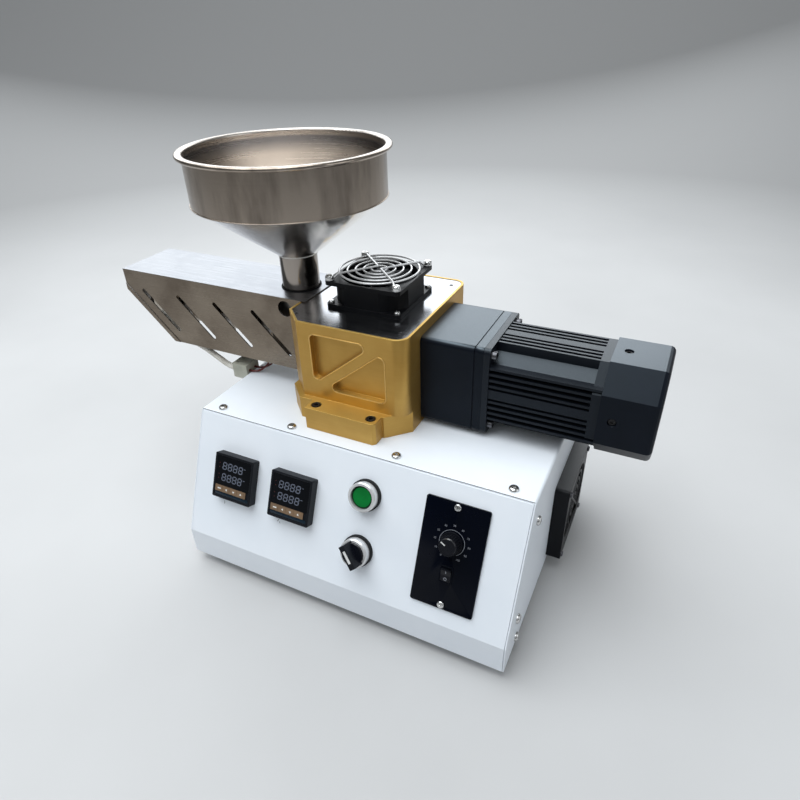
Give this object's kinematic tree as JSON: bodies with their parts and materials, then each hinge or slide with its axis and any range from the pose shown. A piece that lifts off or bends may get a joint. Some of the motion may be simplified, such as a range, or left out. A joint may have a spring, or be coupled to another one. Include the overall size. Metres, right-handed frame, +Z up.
{
  "type": "laboratory extruder",
  "caption": "Benchtop screw extruder: sloping control console, milled drive block with gear motor, round feed hopper, and a heated barrel under a slotted steel cover.",
  "frame": {"origin": "middle of the four feet, on the bench", "axes": "+X from the barrel to the motor, +Y to the back, +Z up"},
  "size_m": [0.6397, 0.2915, 0.416],
  "materials": {
    "console_paint": "fine powder coat",
    "rubber": "matt",
    "controller_case": "satin",
    "display_window": "gloss",
    "key_strip": "satin",
    "plated": "bright",
    "button_green": "gloss",
    "knob_black": "satin",
    "speed_plate": "gloss",
    "gold_anodised": "satin anodised",
    "polished_plate": "polished",
    "hopper_steel": "polished",
    "cover_steel": "brushed",
    "tool_steel": "machined",
    "heater_steel": "bright",
    "nozzle_brass": "machined",
    "fan_black": "satin",
    "ceramic": "unglazed",
    "lead_sleeve": "braided",
    "motor_paint": "satin",
    "motor_fins": "satin",
    "side_box_black": "satin"
  },
  "bodies": {
    "machine": {"chassis": "console_paint", "console_cover": "console_paint", "rubber_feet": "rubber", "controller_left_case": "controller_case", "controller_right_case": "controller_case", "controller_windows": "display_window", "controller_keypads": "key_strip", "button_gasket": "rubber", "button_bezel": "plated", "selector_gasket": "rubber", "selector_bezel": "plated", "speed_controller": "speed_plate", "drive_block": "gold_anodised", "block_top_plate": "polished_plate", "fan_frame": "fan_black", "fan_guard": "plated", "hopper": "hopper_steel", "hopper_seal": "rubber", "barrel_cover": "cover_steel", "feed_throat": "tool_steel", "barrel": "tool_steel", "feed_screw": "tool_steel", "heater_bands": "heater_steel", "die_head": "tool_steel", "nozzle": "nozzle_brass", "terminal_block": "ceramic", "heater_lead": "lead_sleeve", "gearhead": "motor_paint", "motor_body": "motor_fins", "motor_end_cover": "motor_paint", "side_fan_box": "side_box_black", "power_inlet": "side_box_black"},
    "fan": {"fan_rotor": "fan_black"},
    "button": {"button_cap": "button_green"},
    "selector": {"selector_knob": "knob_black"},
    "speed_dial": {"speed_knob": "knob_black"},
    "rocker": {"speed_rocker": "knob_black"}
  },
  "joints": [
    {"name": "fan_spin", "type": "hinge", "parent": "machine", "child": "fan", "pos_m": [-0.021, 0.03037, 0.289], "axis": [0, 0, 1], "continuous": true},
    {"name": "button_press", "type": "slide", "parent": "machine", "child": "button", "axis": [0, 0.9157, -0.4019], "range_m": [0, 0.003], "stiffness_N_per_m": 800},
    {"name": "selector_turn", "type": "hinge", "parent": "machine", "child": "selector", "pos_m": [0.0248, -0.12294, 0.08401], "axis": [0, -0.9157, 0.4019], "range_deg": [-90, 0]},
    {"name": "speed_turn", "type": "hinge", "parent": "machine", "child": "speed_dial", "pos_m": [0.11498, -0.10766, 0.11881], "axis": [0, -0.9157, 0.4019], "range_deg": [-212, 88]},
    {"name": "rocker_switch", "type": "hinge", "parent": "machine", "child": "rocker", "pos_m": [0.11498, -0.12012, 0.09042], "axis": [1, 0, 0], "range_deg": [-20, 0]}
  ]
}
